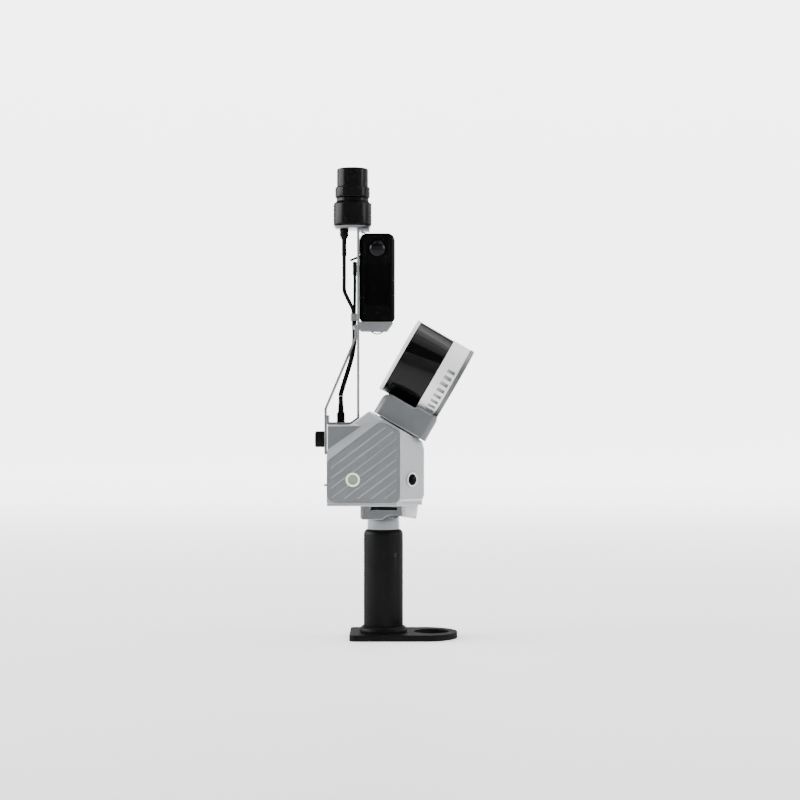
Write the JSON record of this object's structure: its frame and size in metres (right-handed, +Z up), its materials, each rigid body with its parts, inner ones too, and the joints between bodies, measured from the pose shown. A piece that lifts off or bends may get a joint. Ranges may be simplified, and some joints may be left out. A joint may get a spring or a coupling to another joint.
{
  "type": "handheld lidar scanner",
  "caption": "Handheld lidar scanner standing on a base plate: tilted spinning lidar head on a faceted body, mast with a 360 camera and satellite antenna.",
  "frame": {"origin": "mouth of the tripod thread under the base plate, on the grip's axis", "axes": "+Z up along the grip, +X forward towards the sighting hole, +Y to the scanner's right"},
  "size_m": [0.2069, 0.104, 0.6091],
  "materials": {
    "shell": "satin",
    "panel": "satin",
    "bracket": "satin",
    "base_black": "matte",
    "grip": "matte",
    "white_metal": "satin",
    "white_plastic": "satin",
    "dark_window": "gloss",
    "glass": "gloss",
    "black_gloss": "satin",
    "cable": "matte",
    "clip": "matte",
    "steel": "satin",
    "motor": "satin",
    "rotor": "matte",
    "copper": "satin",
    "cell_wrap": "satin",
    "board": "satin",
    "lit_ring": "satin",
    "button": "satin"
  },
  "bodies": {
    "scanner": {"body_shell": "shell", "bottom_plate": "shell", "neck_block": "shell", "neck_collar": "shell", "side_panel_left": "panel", "side_panel_right": "panel", "mast": "bracket", "brace": "bracket", "camera_tray": "bracket", "handle_tube": "bracket", "antenna_base": "bracket", "base_plate": "base_black", "base_flange": "base_black", "handle_shell_left": "grip", "handle_shell_right": "grip", "vent_grilles": "grip", "port_block": "grip", "lens_bezels": "white_plastic", "battery_holders": "white_plastic", "lens_domes": "glass", "camera_lenses": "glass", "camera_screen": "glass", "antenna_housing": "black_gloss", "antenna_ring": "black_gloss", "antenna_radome": "black_gloss", "camera_case": "black_gloss", "camera_lens_rings": "black_gloss", "lens_barrels": "black_gloss", "cable_trunk": "cable", "antenna_cable": "cable", "camera_cable": "cable", "cable_plug": "cable", "usb_plug": "cable", "antenna_gland": "cable", "cable_clip": "clip", "m3_screws": "steel", "base_screws": "steel", "tripod_insert": "steel", "cable_socket": "steel", "head_bearing": "steel", "head_motor": "motor", "antenna_element": "copper", "slip_ring": "copper", "battery_cells": "cell_wrap", "main_board": "board", "button_ring": "lit_ring"},
    "head": {"head_spindle": "grip", "head_cradle": "bracket", "lidar_base": "white_metal", "lidar_window": "dark_window", "lidar_cap": "white_metal", "lidar_screws": "steel"},
    "lidar_rotor": {"lidar_rotor": "rotor"},
    "power_button": {"power_button": "button"},
    "port_cover": {"port_cover": "cable"},
    "clamp_knob": {"clamp_knob": "grip"},
    "camera_screw": {"camera_screw": "steel"},
    "screw_ring": {"screw_ring": "steel"},
    "camera_door": {"camera_door": "black_gloss"},
    "camera_shutter": {"camera_shutter": "grip"}
  },
  "joints": [
    {"name": "head_spin", "type": "hinge", "parent": "scanner", "child": "head", "pos_m": [0.0205, 0, 0.272], "axis": [0.5, 0, 0.866], "continuous": true},
    {"name": "lidar_spin", "type": "hinge", "parent": "head", "child": "lidar_rotor", "pos_m": [0.06185, 0, 0.34362], "axis": [0.866, 0, -0.5], "continuous": true},
    {"name": "power_press", "type": "slide", "parent": "scanner", "child": "power_button", "axis": [0, 1, 0], "range_m": [0, 0.0012], "stiffness_N_per_m": 1500},
    {"name": "port_cover_hinge", "type": "hinge", "parent": "scanner", "child": "port_cover", "pos_m": [-0.0707, 0, 0.1842], "axis": [0, -1, 0], "range_deg": [0, 90]},
    {"name": "knob_turn", "type": "hinge", "parent": "scanner", "child": "clamp_knob", "pos_m": [-0.0767, 0, 0.2576], "axis": [-1, 0, 0], "continuous": true},
    {"name": "camera_screw_turn", "type": "hinge", "parent": "scanner", "child": "camera_screw", "pos_m": [-0.00802, 0, 0.40495], "axis": [0, 0, -1], "continuous": true},
    {"name": "ring_fold", "type": "hinge", "parent": "camera_screw", "child": "screw_ring", "pos_m": [-0.00802, 0, 0.40495], "axis": [1, 0, 0], "range_deg": [-90, 90]},
    {"name": "camera_door_hinge", "type": "hinge", "parent": "scanner", "child": "camera_door", "pos_m": [-0.03173, 0, 0.4946], "axis": [0, 1, 0], "range_deg": [-8, 60]},
    {"name": "shutter_press", "type": "slide", "parent": "scanner", "child": "camera_shutter", "axis": [0, 1, 0], "range_m": [0, 0.0008], "stiffness_N_per_m": 1000}
  ]
}
